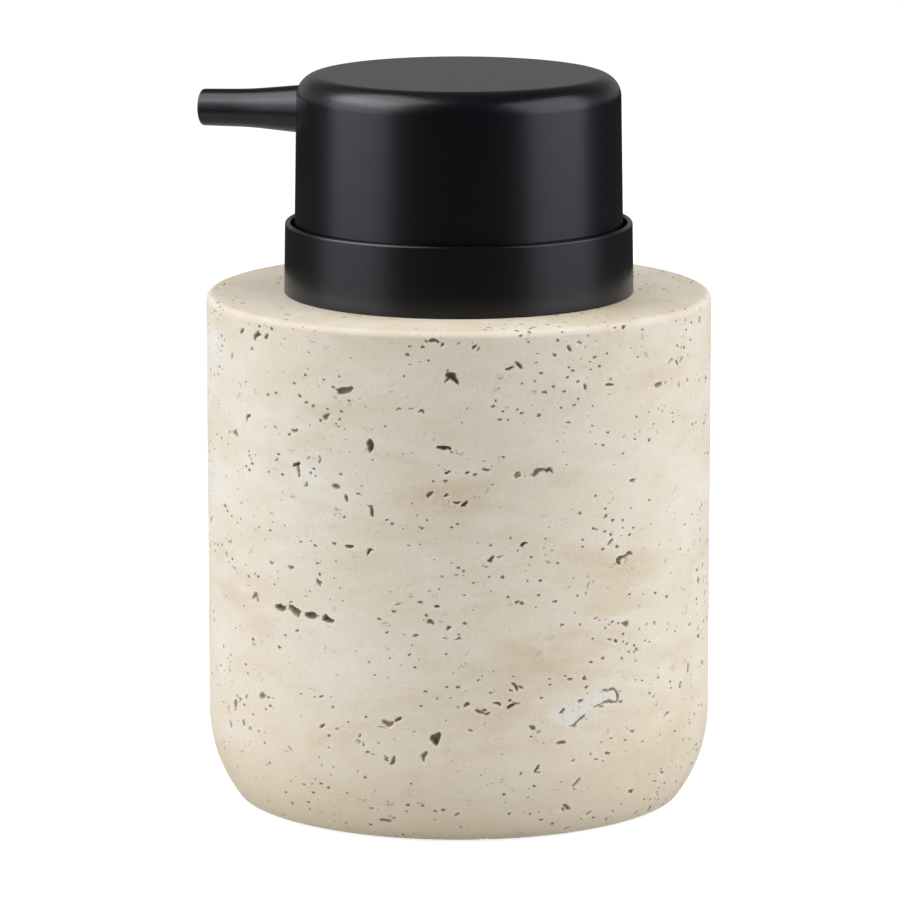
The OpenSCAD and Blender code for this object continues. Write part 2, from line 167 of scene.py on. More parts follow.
def rounded_outline(corners, closed=False, step=None):
    """Outline through corners (r, z, rounding), run with the material on its left.

    Each rounding is an arc tangent to both sides. It starts and ends rounding times the
    tangent of half the turn from the corner, and its normal swings evenly from one side's
    to the other's. Straight stretches are cut into lengths of about step.
    """
    corners = np.array(corners, float)
    ahead = np.roll(corners, -1, axis=0)[:, :2] - corners[:, :2]
    ahead /= np.maximum(np.linalg.norm(ahead, axis=1), 1e-12)[:, None]
    rows = []
    for k, (r, z, rounding) in enumerate(corners):
        if not closed and k in (0, len(corners) - 1):
            side = ahead[0] if k == 0 else ahead[-2]
            rows.append([[r, z, side[1], -side[0]]])
            continue
        before, after = ahead[k - 1], ahead[k]
        turn = math.atan2(before[0] * after[1] - before[1] * after[0], before @ after)
        bend = math.copysign(rounding, turn)
        reach = rounding * math.tan(abs(turn) / 2)
        centre = np.array([r, z]) - before * reach - bend * np.array([before[1], -before[0]])
        pieces = max(4, math.ceil(abs(turn) / ARC_STEP))
        if step:
            pieces = max(pieces, math.ceil(abs(turn) * rounding / step))
        swing = math.atan2(-before[0], before[1]) + np.linspace(0, turn, pieces + 1)
        normal = np.column_stack([np.cos(swing), np.sin(swing)])
        rows.append(np.column_stack([centre + bend * normal, normal]))
    if closed:
        rows.append([rows[0][0]])
    if not step:
        return np.concatenate(rows)
    joined = [rows[0]]
    for one, two in zip(rows, rows[1:]):
        start, end = np.array(one[-1]), np.array(two[0])
        parts = max(1, math.ceil(math.dist(start[:2], end[:2]) / step))
        joined.append(np.linspace(start, end, parts + 1)[1:-1])
        joined.append(two)
    return np.concatenate(joined)


def put_in_scene(name, mesh, material):
    """An object at the origin that carries the mesh."""
    made = bpy.data.objects.new(name, mesh)
    bpy.context.scene.collection.objects.link(made)
    made.data.materials.append(material)
    return made


def mesh_from(name, points, faces, normals=None):
    """A smooth mesh from arrays, with its own vertex normals where they are given."""
    mesh = bpy.data.meshes.new(name)
    mesh.from_pydata(np.asarray(points).tolist(), [], faces)
    mesh.validate()
    mesh.shade_smooth()
    if normals is not None:
        mesh.normals_split_custom_set_from_vertices(np.asarray(normals).tolist())
    return mesh


def turned(name, outline, columns, material, closed):
    """Surface of revolution: (r cos t, r sin t, z) for each outline row and each angle t.

    A closed outline's last row is its first. An open one starts and ends on the axis,
    where the whole ring is one point.
    """
    turn = np.linspace(0, 2 * np.pi, columns, endpoint=False)
    rows = outline[:-1] if closed else outline[1:-1]
    r, z, out, up = (rows[:, k, None] for k in range(4))
    points = np.dstack([r * np.cos(turn), r * np.sin(turn), z + 0 * turn]).reshape(-1, 3)
    normals = np.dstack([out * np.cos(turn), out * np.sin(turn), up + 0 * turn]).reshape(-1, 3)
    row, column = np.meshgrid(np.arange(len(rows)), np.arange(columns), indexing="ij")
    if not closed:
        row, column = row[:-1], column[:-1]
    above, beside = (row + 1) % len(rows), (column + 1) % columns
    quads = np.dstack([row * columns + column, row * columns + beside,
                       above * columns + beside, above * columns + column]).reshape(-1, 4)
    faces = quads.tolist()
    if not closed:
        ring = np.arange(columns)
        first, last = len(points), len(points) + 1
        top = (len(rows) - 1) * columns
        points = np.vstack([points, [0, 0, outline[0, 1]], [0, 0, outline[-1, 1]]])
        normals = np.vstack([normals, [0, 0, outline[0, 3]], [0, 0, outline[-1, 3]]])
        faces += np.column_stack([np.full(columns, first), np.roll(ring, -1), ring]).tolist()
        faces += np.column_stack([ring + top, np.roll(ring, -1) + top,
                                  np.full(columns, last)]).tolist()
    return put_in_scene(name, mesh_from(name, points, faces, normals), material)


# The travertine body: its pores are pressed into a grid that is finer where they are

PORE_CELL = 0.1 * MM    # side of one cell of the pore map
PORE_WALL = 0.16 * MM   # width over which a pore's wall falls
RIM_WIDTH = 0.45 * MM   # width of the bleached rim round a pore
SHALLOWEST = 0.02 * MM  # a pore deeper than this gets finer cells
CAVITY_DEPTH = 1.2 * MM    # depth of the cavities that are placed one by one
STRAY_ROUND = 2.2 * MM  # how far a string's next pore strays round the body
STRAY_UP = 0.45 * MM    # and how far up or down
FINEST = 3              # times that a stone cell is halved where a pore is
FRONT = math.radians(-90 + FRONT_DEGREES)    # the stone's front, as an angle about the axis
STONE_CREASE = math.radians(42)     # faces that turn more than this meet sharply
SPECTRUM_FALL = 19.7    # about two pi squared: how fast a Gaussian falls in the spectrum
LONG_BANDS = (190, 34)  # widths of a noise's blur in pore cells, round the body and up it
SHORT_BANDS = (60, 22)
WANDER = (5, 5)
UPRIGHT = math.pi / 2

# Cavities that stand alone: degrees from the front, then height, span and girth in
# millimetres, then tilt and bend
SINGLE_CAVITIES = (
    (-20, 67, 1.7, 0.55, UPRIGHT, 0.1),
    (-3, 67, 2.4, 0.48, 0.0, 0.2),
    (-5, 19, 1.8, 0.7, UPRIGHT, 0.1),
    (40, 47, 3.2, 0.42, 0.1, -0.5),
)

# Cavities of the joined row, from left to right: span, girth and rise in millimetres
ROW_CAVITIES = ((1.9, 0.5, 0.4), (2.3, 0.75, 0.1), (2.0, 0.7, -0.2), (1.5, 0.6, -0.5))


def smooth_noise(rng, shape, across, along):
    """Seamless noise from -1 to 1: white noise blurred in its spectrum by a Gaussian.

    across and along are the blur's widths in cells, round the body and up it.
    """
    wave_u = np.fft.fftfreq(shape[0])[:, None] * across
    wave_v = np.fft.rfftfreq(shape[1])[None, :] * along
    spectrum = np.fft.rfft2(rng.standard_normal(shape))
    fall = np.exp(-SPECTRUM_FALL * (wave_u ** 2 + wave_v ** 2))
    field = np.fft.irfft2(spectrum * fall, shape)
    return np.clip(field / (2 * field.std()), -1, 1)


class PoreMap:
    """Depth of the pores and share of calcite over the stone, by angle and by length up it."""

    def __init__(self, outline, start, end, seed):
        self.rng = np.random.default_rng(seed)
        self.outline_length = np.r_[0, np.cumsum(np.linalg.norm(
            np.diff(outline[:, :2], axis=0), axis=1))]
        self.low, self.high = self.outline_length[start], self.outline_length[end]
        self.across = int(2 * np.pi * outline[:, 0].max() / PORE_CELL)
        self.up = int((self.high - self.low) / PORE_CELL)
        where = self.low + (np.arange(self.up) + 0.5) * PORE_CELL
        self.radius = np.interp(where, self.outline_length, outline[:, 0])
        self.height = np.interp(where, self.outline_length, outline[:, 1])
        self.shape = (self.across, self.up)
        self.depth = np.zeros(self.shape)
        self.halo = np.zeros(self.shape)
        self.calcite = np.zeros(self.shape)
        self.wander = [smooth_noise(self.rng, self.shape, *WANDER) for _ in range(2)]

    def row_at(self, height):
        """Row of the map at a height on the stone's side."""
        off_side = self.radius < self.radius.max() - MM
        return int(np.argmin(np.abs(self.height - height) + off_side))

    def window(self, column, row, reach):
        """Cells within reach of a cell, and their offsets from it round and up the stone."""
        cells = int(reach / PORE_CELL)
        rows = np.arange(max(row - cells, 0), min(row + cells + 1, self.up))
        wide = int(cells * self.radius.max() / max(self.radius[row], MM))
        columns = np.arange(column - wide, column + wide + 1)
        pick = np.ix_(columns % self.across, rows)
        turn = (columns - column)[:, None] * 2 * np.pi / self.across
        north = (rows - row)[None, :] * PORE_CELL + 0 * turn
        return pick, turn * self.radius[rows][None, :], north

    def stroke(self, pick, east, north, spine, widths, ragged):
        """Distance inside a stroke: the largest of width less distance over its spine's points.

        Both directions are first moved by ragged times the wander noise.
        """
        east = east + ragged * self.wander[0][pick]
        north = north + ragged * self.wander[1][pick]
        inside = np.full(east.shape, -1.0)
        for (x, y), width in zip(spine, widths):
            inside = np.maximum(inside, width - np.hypot(east - x, north - y))
        return inside

    def press(self, pick, inside, depth):
        """Presses a pore with steep walls, and marks the bleached rim round it."""
        wall = np.clip(inside / PORE_WALL, 0, 1)
        bowl = np.clip(inside / max(inside.max(), 1e-9), 0, 1) ** 0.5
        self.depth[pick] = np.maximum(self.depth[pick], depth * wall * (0.45 + 0.55 * bowl))
        rim = np.clip(1 + inside / RIM_WIDTH, 0, 1) * (inside < 0)
        self.halo[pick] = np.maximum(self.halo[pick], rim)

    def pore(self, column, row, span, girth, tilt, bend, depth):
        """One pore: a bent stroke, fat at one end and drawn out at the other."""
        pick, east, north = self.window(column, row, span * 0.75 + girth + 0.6 * MM)
        t = np.linspace(-1, 1, 9)
        x, y = t * span / 2, bend * span * (t ** 2 - 0.4) / 2
        spine = np.column_stack([x * np.cos(tilt) - y * np.sin(tilt),
                                 x * np.sin(tilt) + y * np.cos(tilt)])
        widths = girth * np.clip(1 - 0.85 * ((t + 0.35) / 1.35) ** 2, 0.16, 1)
        ragged = min(0.42 * MM, 0.9 * girth)
        self.press(pick, self.stroke(pick, east, north, spine, widths, ragged), depth)

    def scatter(self, number, low, high, slender, deepest):
        """Pores in short level strings, most where a banded noise is high.

        Spans run from low to high, most of them low. A string has one to five pores.
        """
        bands = smooth_noise(self.rng, self.shape, *LONG_BANDS)
        bands = bands + 0.8 * smooth_noise(self.rng, self.shape, *SHORT_BANDS)
        density = np.clip(bands + 0.9, 0.05, None) ** 1.3 * self.radius[None, :]
        inner = self.radius < self.radius.max() - 3 * MM    # the top face and the underside
        density[:, inner] *= 0.5
        chance = np.cumsum(density.ravel())
        made = 0
        while made < number:
            cell = int(np.searchsorted(chance, self.rng.random() * chance[-1]))
            column, row = divmod(cell, self.up)
            for _ in range(min(1 + self.rng.poisson(0.9), 5, number - made)):
                span = low + (high - low) * self.rng.random() ** 2.6
                girth = span * self.rng.uniform(*slender)
                tilt = self.rng.normal(0, 0.45) + (self.rng.random() < 0.16) * UPRIGHT
                tilt += (self.rng.random() < 0.5) * np.pi
                depth = min(deepest, girth * self.rng.uniform(1.3, 2.4))
                self.pore(column, row, span, girth, tilt, self.rng.normal(0, 0.45), depth)
                column += int(self.rng.normal(0, STRAY_ROUND) / PORE_CELL)
                row += self.rng.normal(0, STRAY_UP) / PORE_CELL
                row = int(np.clip(row, 0, self.up - 1))
                made += 1

    def column_at(self, turn):
        """Column of the map at an angle from the stone's front."""
        return int((FRONT + turn) / (2 * np.pi) * self.across)

    def cavity_row(self, turn, height):
        """Four open cavities that a thin crack joins, one beside the other."""
        row = self.row_at(height)
        pitch = math.radians(4.4)
        for k, (span, girth, rise) in enumerate(ROW_CAVITIES):
            column = self.column_at(turn + (k - 1.5) * pitch)
            self.pore(column, row + int(rise * MM / PORE_CELL), span * MM, girth * MM,
                      0.15 * (-1) ** k, 0.25, CAVITY_DEPTH)
        for k in range(3):
            self.pore(self.column_at(turn + (k - 1) * pitch), row, 3.4 * MM, 0.13 * MM,
                      -0.08, 0.12, 0.35 * MM)

    def filled_hollow(self, turn, height, span, rise):
        """An old hollow that white calcite has filled, level with the face inside a gaping seam."""
        column, row = self.column_at(turn), self.row_at(height)
        pick, east, north = self.window(column, row, span * 0.75)
        t = np.linspace(-1, 1, 17)
        spine = np.column_stack([t * span * 0.42 * np.cos(rise),
                                 t * span * 0.42 * np.sin(rise) + 0.7 * MM * np.sin(3.2 * t)])
        widths = MM * (1.15 + 0.85 * np.exp(-((t + 0.5) / 0.4) ** 2))
        inside = self.stroke(pick, east, north, spine, widths, 0.5 * MM)
        self.calcite[pick] = np.maximum(self.calcite[pick], np.clip(inside / (0.2 * MM), 0, 1))
        edge = np.abs(inside - 0.05 * MM)
        gape = np.cos(3 * np.arctan2(north, east) - 0.5)
        self.press(pick, np.where(gape > 0.15, 0.28 * MM * gape - edge, -1.0), 0.5 * MM)
        cells = (east + 0.6 * MM * self.wander[0][pick]) / (2.7 * MM) % 1 - 0.5
        seams = 0.1 * MM - np.abs(cells) * 2.7 * MM
        self.press(pick, np.where(inside > 0.1 * MM, seams, -1.0), 0.2 * MM)

    def sample(self, field, turn, where):
        """The field at angles and at lengths along the outline; nothing outside the map."""
        column = np.round(turn / (2 * np.pi) * self.across).astype(int) % self.across
        row = np.floor((where - self.low) / PORE_CELL).astype(int)
        within = (row >= 0) & (row < self.up)
        return field[column, np.clip(row, 0, self.up - 1)] * within


def pooled(mask):
    """True where any of a cell's four quarters is."""
    return mask.reshape(mask.shape[0] // 2, 2, mask.shape[1] // 2, 2).any(axis=(1, 3))


def spread(mask):
    """The mask with the four cells beside each of its own, seamless round the body."""
    wide = mask | np.roll(mask, 1, axis=0) | np.roll(mask, -1, axis=0)
    wide[:, 1:] |= mask[:, :-1]
    wide[:, :-1] |= mask[:, 1:]
    return wide


def graded_cells(split):
    """Faces of a grid whose cells are halved where split says, with no gaps between sizes.

    split[k] marks the cells of level k that are quartered. A cell beside finer ones takes
    their corner on its edge, and becomes a fan of triangles round its middle. The faces hold
    lattice places (column, row) in units of half the finest cell.
    """
    levels = len(split)
    fine = 2 << levels
    quads, fans = [], []
    present = np.ones(split[0].shape, bool)
    for k in range(levels + 1):
        halves = split[k] if k < levels else np.zeros(present.shape, bool)
        column, row = np.nonzero(present & ~halves)
        size = fine >> k
        low_u, low_v = column * size, row * size
        middle = size // 2
        corners = np.stack([np.stack([low_u + a, low_v + b], -1) for a, b in (
            (0, 0), (middle, 0), (size, 0), (size, middle),
            (size, size), (middle, size), (0, size), (0, middle))], 1)
        tall = np.pad(halves, ((0, 0), (1, 1)))
        hanging = np.stack([tall[column, row], np.roll(tall, -1, 0)[column, row + 1],
                            tall[column, row + 2], np.roll(tall, 1, 0)[column, row + 1]], 1)
        plain = ~hanging.any(1)
        quads.append(corners[plain][:, ::2])
        centre = np.stack([low_u + middle, low_v + middle], -1)
        for edge in range(4):
            start, half, end = 2 * edge, 2 * edge + 1, (2 * edge + 2) % 8
            whole = ~plain & ~hanging[:, edge]
            cut = ~plain & hanging[:, edge]
            fans.append(np.stack([corners[whole, start], corners[whole, end], centre[whole]], 1))
            fans.append(np.stack([corners[cut, start], corners[cut, half], centre[cut]], 1))
            fans.append(np.stack([corners[cut, half], corners[cut, end], centre[cut]], 1))
        present = halves.repeat(2, axis=0).repeat(2, axis=1)    # the grid of the next level
    return np.concatenate(quads), np.concatenate(fans)


def stone_outline(sizes):
    """The stone's outline from the pad recess out, up the side, and down the cored hole.

    Returns the outline and the rows where its exposed face starts and ends.
    """
    low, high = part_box("stone_body")
    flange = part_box("inner_bottle")[1].x + sizes.seat_clearance
    radius = round(high.x, 5)
    hole_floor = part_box("inner_bottle")[0].z
    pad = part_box("foot_pad")[1]
    recess = pad.x + sizes.seat_clearance
    cell = sizes.stone_cell
    arc_x = radius - sizes.base_arc_radius
    first = math.asin((low.z - sizes.base_arc_height) / sizes.base_arc_radius)
    swing = np.linspace(first, 0, math.ceil(-first * sizes.base_arc_radius / cell) + 1)
    normal = np.column_stack([np.cos(swing), np.sin(swing)])
    centre = np.array([arc_x, sizes.base_arc_height])
    arc = np.column_stack([centre + sizes.base_arc_radius * normal, normal])
    foot = arc[0, :2]
    below = rounded_outline([(0, pad.z, 0), (recess, pad.z, 0.2 * MM), (recess, low.z, 0.3 * MM),
                             (foot[0], foot[1], 0)], step=3 * cell)
    bore, ledge = sizes.bore_radius, high.z - sizes.flange_thickness
    above = rounded_outline([(radius, sizes.base_arc_height, 0),
                             (radius, high.z, sizes.top_edge_radius),
                             (flange, high.z, 0.25 * MM), (flange, ledge, 0.2 * MM),
                             (bore, ledge, 0)], step=cell)
    inside = rounded_outline([(bore, ledge - MM, 0), (bore, hole_floor, 1.0 * MM),
                              (0, hole_floor, 0)], step=8 * cell)
    outline = np.concatenate([below[:-1], arc, above[1:-1], inside])
    end = len(below) - 1 + len(arc) + int(np.argmax(above[1:, 0] < flange + MM))
    return outline, len(below) - 2, end


def travertine_mesh(sizes, pits):
    """The stone: each lattice place becomes (r cos t, r sin t, z) less its pore's depth.

    The lattice runs round the body and along the outline. A point lies on the outline's
    normal, as far in as the pore map says there.
    """
    outline, start, end = stone_outline(sizes)
    pores = PoreMap(outline, start, end, pits.seed)
    pores.scatter(pits.small_pits, 0.6 * MM, 1.5 * MM, (0.16, 0.42), 0.5 * MM)
    pores.scatter(pits.large_pits, 1.1 * MM, 2.4 * MM, (0.10, 0.34), pits.deepest)
    pores.cavity_row(pits.row_angle, pits.row_height)
    for degrees, height, span, girth, tilt, bend in SINGLE_CAVITIES:
        column, row = pores.column_at(math.radians(degrees)), pores.row_at(height * MM)
        pores.pore(column, row, span * MM, girth * MM, tilt, bend, CAVITY_DEPTH)
    pores.filled_hollow(pits.vug_angle, pits.vug_height, pits.vug_length, pits.vug_rise)
    columns = 2 * math.ceil(np.pi * outline[:, 0].max() / sizes.stone_cell)
    rows = len(outline) - 1
    marks = np.arange(rows + 1)

    scale = 1 << FINEST
    column = (np.arange(columns * scale) + 0.5) / scale
    row = (np.arange(rows * scale) + 0.5) / scale
    turn, where = np.meshgrid(column / columns * 2 * np.pi,
                              np.interp(row, marks, pores.outline_length), indexing="ij")
    busy = spread(pores.depth > SHALLOWEST)
    flag = pores.sample(busy, turn, where).astype(bool)
    split = [pooled(flag)]
    while len(split) < FINEST:
        split.insert(0, pooled(spread(split[0])))
    quads, fans = graded_cells(split)

    across, tall = columns * 2 * scale, rows * 2 * scale + 1
    corner = np.concatenate([quads.reshape(-1, 2), fans.reshape(-1, 2)])
    place = (corner[:, 0] % across) * tall + corner[:, 1]
    place[corner[:, 1] == 0] = 0
    place[corner[:, 1] == tall - 1] = tall - 1
    used, index = np.unique(place, return_inverse=True)
    turn = used // tall / across * 2 * np.pi
    mark = used % tall / (2 * scale)
    r, z, out, up = (np.interp(mark, marks, outline[:, k]) for k in range(4))
    where = np.interp(mark, marks, pores.outline_length)
    depth = pores.sample(pores.depth, turn, where)
    unit = np.maximum(np.hypot(out, up), 1e-9)
    r = r - depth * out / unit
    points = np.column_stack([r * np.cos(turn), r * np.sin(turn), z - depth * up / unit])

    fours = index[:quads.shape[0] * 4].reshape(-1, 4)
    threes = index[quads.shape[0] * 4:].reshape(-1, 3)
    first_pole = fours[:, 0] == fours[:, 1]
    last_pole = fours[:, 2] == fours[:, 3]
    faces = fours[~first_pole & ~last_pole].tolist() + threes.tolist()
    faces += fours[first_pole][:, 1:].tolist() + fours[last_pole][:, :3].tolist()
    mesh = mesh_from("travertine_body", points, faces)
    mesh.set_sharp_from_angle(angle=STONE_CREASE)
    for name, field, full in (("pore", pores.depth, 0.35 * MM), ("rim", pores.halo, 1.0),
                              ("calcite", pores.calcite, 1.0)):
        layer = mesh.attributes.new(name, "FLOAT", "POINT")
        value = np.clip(pores.sample(field, turn, where) / full, 0, 1)
        layer.data.foreach_set("value", value.astype(np.float32))
    return mesh


# Materials

def node(tree, kind, inputs=(), out=None, stops=(), **settings):
    """Adds a shader node and returns the named output, or the first that is in use.

    Inputs are a list in the node's own order, or a dictionary by name or place. An input
    that is a socket is linked, and any other is set. A Mix node's places are 0 for the share
    of the second, 2 and 3 for two numbers, and 6 and 7 for two colours.
    """
    made = tree.nodes.new("ShaderNode" + kind)
    for key, value in settings.items():
        setattr(made, key, value)
    given = inputs if isinstance(inputs, dict) else dict(enumerate(inputs))
    for key, value in given.items():
        if isinstance(value, bpy.types.NodeSocket):
            tree.links.new(value, made.inputs[key])
        else:
            made.inputs[key].default_value = value
    for place, (position, value) in enumerate(stops):
        ramp = made.color_ramp.elements
        element = ramp[place] if place < len(ramp) else ramp.new(position)
        element.position = position
        element.color = value
    return made.outputs[out] if out else next(one for one in made.outputs if one.enabled)


def begin(name, **constants):
    """A material with its tree, its shader with constant sockets set, and places in millimetres."""
    material = bpy.data.materials.new(name)
    material.use_nodes = True
    material.diffuse_color = constants["Base_Color"]
    tree = material.node_tree
    shader = tree.nodes["Principled BSDF"]
    for key, value in constants.items():
        shader.inputs[key.replace("_", " ")].default_value = value
    where = node(tree, "TexCoord", out="Object")
    places = node(tree, "Mapping", {"Vector": where, "Scale": (1 / MM,) * 3})
    return material, tree, shader, places


def link(tree, shader, **sockets):
    """Links sockets to the shader's inputs."""
    for key, socket in sockets.items():
        tree.links.new(socket, shader.inputs[key.replace("_", " ")])


# Noises of the travertine, each with its waves in a millimetre across and up, its offset,
# detail, roughness and distortion
STONE_NOISES = {
    "bands": (0.028, 0.085, (2, 8, 4), 5.0, 0.55, 0.2),
    "clouds": (0.075, 0.15, (4, 2, 8), 8.0, 0.62, 0.4),
    "belts": (0.05, 0.17, (3, 8, 5), 3.0, 0.5, 0.0),
    "tracks": (0.42, 0.6, (0, 0, 0), 1.5, 0.5, 1.2),
    "patches": (0.33, 0.55, (5, 1, 7), 2.0, 0.5, 0.0),
}


def travertine(colours):
    """Travertine, honed and left unfilled: matt cream stone in level cloudy bands, with open
    pores in a brown that is partly their own and partly painted shade deepening with depth,
    dust-fine pinholes darkened with painted shade, and white calcite round the pores and in
    old hollows."""
    material, tree, shader, places = begin(
        "honed_travertine", Base_Color=colours["stone_pale"], IOR=1.49, Roughness=0.62,
        Specular_IOR_Level=0.35)
    tan, pale, white = colours["stone_tan"], colours["stone_pale"], colours["stone_white"]
    noise = {}
    for name, (across, up, offset, detail, rough, distortion) in STONE_NOISES.items():
        spot = node(tree, "Mapping", [places, offset, (0, 0, 0), (across, across, up)])
        noise[name] = node(tree, "TexNoise", {
            "Vector": spot, "Scale": 1.0, "Detail": detail, "Roughness": rough,
            "Distortion": distortion})
    grain = node(tree, "TexNoise", {"Vector": places, "Scale": 1.6, "Detail": 4.0,
                                    "Roughness": 0.7})

    # Tan and pale bands, clouded with white and tan, and tan towards the foot
    ground = node(tree, "ValToRGB", [noise["bands"]], stops=[
        (0.3, tan), (0.47, pale), (0.56, pale), (0.72, white)])
    height = node(tree, "SeparateXYZ", [places], out="Z")
    cloudy = node(tree, "MapRange", [noise["clouds"], 0.5, 0.78, 0.0, 0.75])
    warm = node(tree, "MapRange", [noise["clouds"], 0.46, 0.28, 0.0, 0.55])
    foot = node(tree, "MapRange", [height, 26.0, 3.0, 0.0, 0.6])
    for share, layer in ((cloudy, white), (warm, tan), (foot, tan)):
        ground = node(tree, "Mix", {0: share, 6: ground, 7: layer}, data_type="RGBA")
    tint = node(tree, "MapRange", [grain, 0.25, 0.75, 0.94, 1.05])
    ground = node(tree, "Mix", {0: 1.0, 6: ground, 7: tint}, data_type="RGBA",
                  blend_type="MULTIPLY")

    # Pinholes at most 0.9 mm long and 0.5 mm tall, one to a cell of 1.6 by 1 mm, in level belts.
    # The cells are turned, so that their lattice doesn't line up with the body
    drift = node(tree, "TexNoise", {"Vector": places, "Scale": 2.4, "Detail": 2.0}, out="Color")
    drift = node(tree, "VectorMath", [drift, (0.7, 0.7, 0.7)], operation="MULTIPLY")
    shaken = node(tree, "VectorMath", [places, drift], operation="ADD")
    flat = node(tree, "Mapping", {"Vector": shaken, "Rotation": (0.6, 0.75, 0.3),
                                  "Scale": (0.62, 0.62, 1.0)})
    away = node(tree, "TexVoronoi", {"Vector": flat, "Scale": 1.0})
    pick = node(tree, "SeparateColor", [away.node.outputs["Color"]])
    belt = node(tree, "MapRange", [noise["belts"], 0.35, 0.7, 0.05, 1.0])
    share = node(tree, "Math", [belt, pick], operation="SUBTRACT")
    present = node(tree, "Math", [share, 0.0], operation="GREATER_THAN")
    reach = node(tree, "MapRange", [share, 0.0, 0.5, 0.09, 0.27])
    reach = node(tree, "Math", [reach, present], operation="MULTIPLY")
    edge = node(tree, "Math", [reach, away], operation="SUBTRACT")
    pinhole = node(tree, "MapRange", [edge, 0.0, 0.06])
    bleached = node(tree, "MapRange", [edge, -0.12, 0.0, 0.0, 0.35])

    # Thin crescents and worm tracks about 0.1 mm wide, where the patches let them show. They join the
    # pinholes and take the pinholes' painted shade
    track = node(tree, "Math", [noise["tracks"], 0.5], operation="SUBTRACT")
    track = node(tree, "Math", [track], operation="ABSOLUTE")
    track = node(tree, "MapRange", [track, 0.02, 0.008])
    shown = node(tree, "MapRange", [noise["patches"], 0.63, 0.69])
    for share in (shown, 0.6):
        track = node(tree, "Math", [track, share], operation="MULTIPLY")
    pinhole = node(tree, "Math", [pinhole, track], operation="MAXIMUM")

    # Bleached rims, calcite, pinholes and pores, each over the last. The pinholes' brown is painted
    # shade, and the pores' brown is partly their own colour and partly painted shade that grows with
    # depth
    crystal = node(tree, "Mix", {0: grain, 6: colours["calcite"], 7: white}, data_type="RGBA")
    pore, rim, calcite = (node(tree, "Attribute", out="Fac", attribute_name=name)
                          for name in ("pore", "rim", "calcite"))
    rim, shaded, pore = (node(tree, "Math", [mask, share], operation="MULTIPLY")
                         for mask, share in ((rim, 0.45), (pinhole, 0.9), (pore, 0.9)))
    for share, layer in ((bleached, white), (rim, white), (calcite, crystal),
                         (shaded, colours["pinhole_brown"]), (pore, colours["pit_brown"])):
        ground = node(tree, "Mix", {0: share, 6: ground, 7: layer}, data_type="RGBA")
    relief = node(tree, "Math", [grain, 0.12], operation="MULTIPLY")
    relief = node(tree, "Math", [relief, pinhole], operation="SUBTRACT")
    bump = node(tree, "Bump", {"Height": relief, "Strength": 0.7, "Distance": 0.12 * MM})
    rough = node(tree, "MapRange", [grain, 0.0, 1.0, 0.52, 0.72])
    link(tree, shader, Base_Color=ground, Normal=bump, Roughness=rough)
    return material


def moulded(name, base, roughness, bump_mm, grit_mm, **constants):
    """Injection-moulded plastic: even colour with a trace of mottling, and the fine spark-eroded
    grain of the mould, whose grit is drawn at grit_mm."""
    material, tree, shader, places = begin(name, Base_Color=base, **constants)
    grit = node(tree, "TexNoise", {"Vector": places, "Scale": 1 / grit_mm, "Detail": 3.0,
                                   "Roughness": 0.6})
    flow = node(tree, "TexNoise", {"Vector": places, "Scale": 0.09, "Detail": 2.0})
    tint = node(tree, "MapRange", [flow, 0.3, 0.7, 0.93, 1.07])
    shade = node(tree, "Mix", {0: 1.0, 6: base, 7: tint}, data_type="RGBA",
                 blend_type="MULTIPLY")
    rough = node(tree, "MapRange", [grit, 0.3, 0.7, roughness - 0.04, roughness + 0.04])
    bump = node(tree, "Bump", {"Height": grit, "Strength": 0.5, "Distance": bump_mm * MM})
    link(tree, shader, Base_Color=shade, Roughness=rough, Normal=bump)
    return material


def drawn_wire(base):
    """Stainless spring wire, drawn: bright, with faint die lines that run along the wire."""
    material, tree, shader, places = begin("drawn_stainless", Base_Color=base, Metallic=1.0)
    lines = node(tree, "Mapping", {"Vector": places, "Scale": (0.8, 0.8, 14)})
    dies = node(tree, "TexNoise", {"Vector": lines, "Scale": 1.0, "Detail": 3.0})
    rough = node(tree, "MapRange", [dies, 0.0, 1.0, 0.16, 0.36])
    bump = node(tree, "Bump", {"Height": dies, "Strength": 0.3, "Distance": 0.01 * MM})
    link(tree, shader, Roughness=rough, Normal=bump)
    return material


def ground_steel(base):
    """Stainless valve ball, ground and lapped: nearly a mirror, with the finest haze."""
    material, tree, shader, places = begin("lapped_stainless", Base_Color=base, Metallic=1.0)
    haze = node(tree, "TexNoise", {"Vector": places, "Scale": 3.0, "Detail": 5.0})
    rough = node(tree, "MapRange", [haze, 0.0, 1.0, 0.05, 0.14])
    bump = node(tree, "Bump", {"Height": haze, "Strength": 0.1, "Distance": 0.004 * MM})
    link(tree, shader, Roughness=rough, Normal=bump)
    return material


def closed_cell_foam(base):
    """EVA foam with cut cells: matt black with shallow 0.3 mm cells over the face."""
    material, tree, shader, places = begin("eva_foam", Base_Color=base, Specular_IOR_Level=0.3)
    cells = node(tree, "TexVoronoi", {"Vector": places, "Scale": 1 / 0.3})
    tint = node(tree, "MapRange", [cells, 0.0, 1.0, 0.7, 1.25])
    shade = node(tree, "Mix", {0: 1.0, 6: base, 7: tint}, data_type="RGBA",
                 blend_type="MULTIPLY")
    rough = node(tree, "MapRange", [cells, 0.0, 1.0, 0.95, 0.8])
    bump = node(tree, "Bump", {"Height": cells, "Strength": 0.6, "Distance": 0.08 * MM})
    link(tree, shader, Base_Color=shade, Roughness=rough, Normal=bump)
    return material


